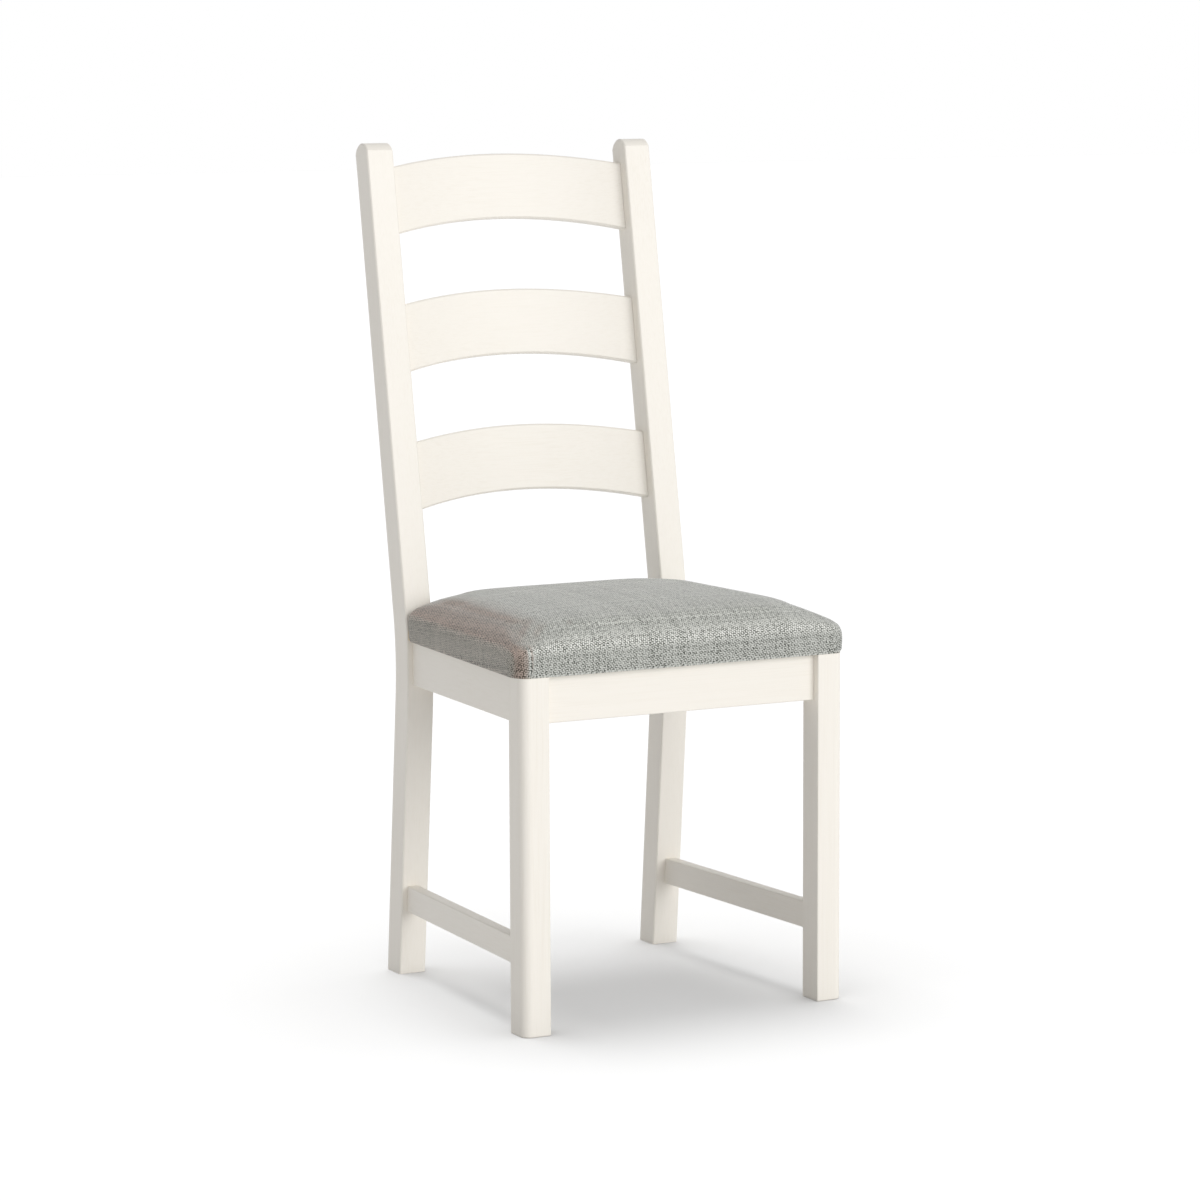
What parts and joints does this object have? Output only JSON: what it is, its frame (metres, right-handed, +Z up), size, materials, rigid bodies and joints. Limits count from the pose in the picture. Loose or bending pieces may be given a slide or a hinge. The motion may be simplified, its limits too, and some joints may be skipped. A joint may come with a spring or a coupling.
{
  "type": "ladderback dining chair",
  "caption": "Painted wooden dining chair with a tall raked ladder back of arched slats, square legs, low side stretchers and a crowned upholstered seat pad.",
  "frame": {"origin": "on the floor under the middle of the chair's overall width and depth", "axes": "+Z up along the chair's height, front of the seat towards -Y, +X to the right as the chair is seen from the front, which is the side that the names call right"},
  "size_m": [0.464, 0.5204, 1.07],
  "materials": {
    "painted_wood": "satin ivory paint over hardwood",
    "bare_wood": "sawn hardwood, no finish",
    "plywood": "bare birch plywood",
    "foam": "open-cell upholstery foam",
    "seat_fabric": "coarse grey tweed weave",
    "dust_cloth": "thin non-woven cloth",
    "plated_steel": "zinc-plated steel"
  },
  "bodies": {
    "root": {"rear_post_left": "painted_wood", "rear_post_right": "painted_wood", "front_leg_left": "painted_wood", "front_leg_right": "painted_wood", "front_rail": "painted_wood", "rear_rail": "painted_wood", "side_rail_left": "painted_wood", "side_rail_right": "painted_wood", "side_stretcher_left": "painted_wood", "side_stretcher_right": "painted_wood", "top_slat": "painted_wood", "middle_slat": "painted_wood", "bottom_slat": "painted_wood", "corner_block_front_left": "bare_wood", "corner_block_front_right": "bare_wood", "corner_block_rear_left": "bare_wood", "corner_block_rear_right": "bare_wood", "seat_board": "plywood", "seat_foam": "foam", "seat_cover": "seat_fabric", "dust_cover": "dust_cloth", "seat_fixing_screws": "plated_steel"}
  },
  "joints": []
}
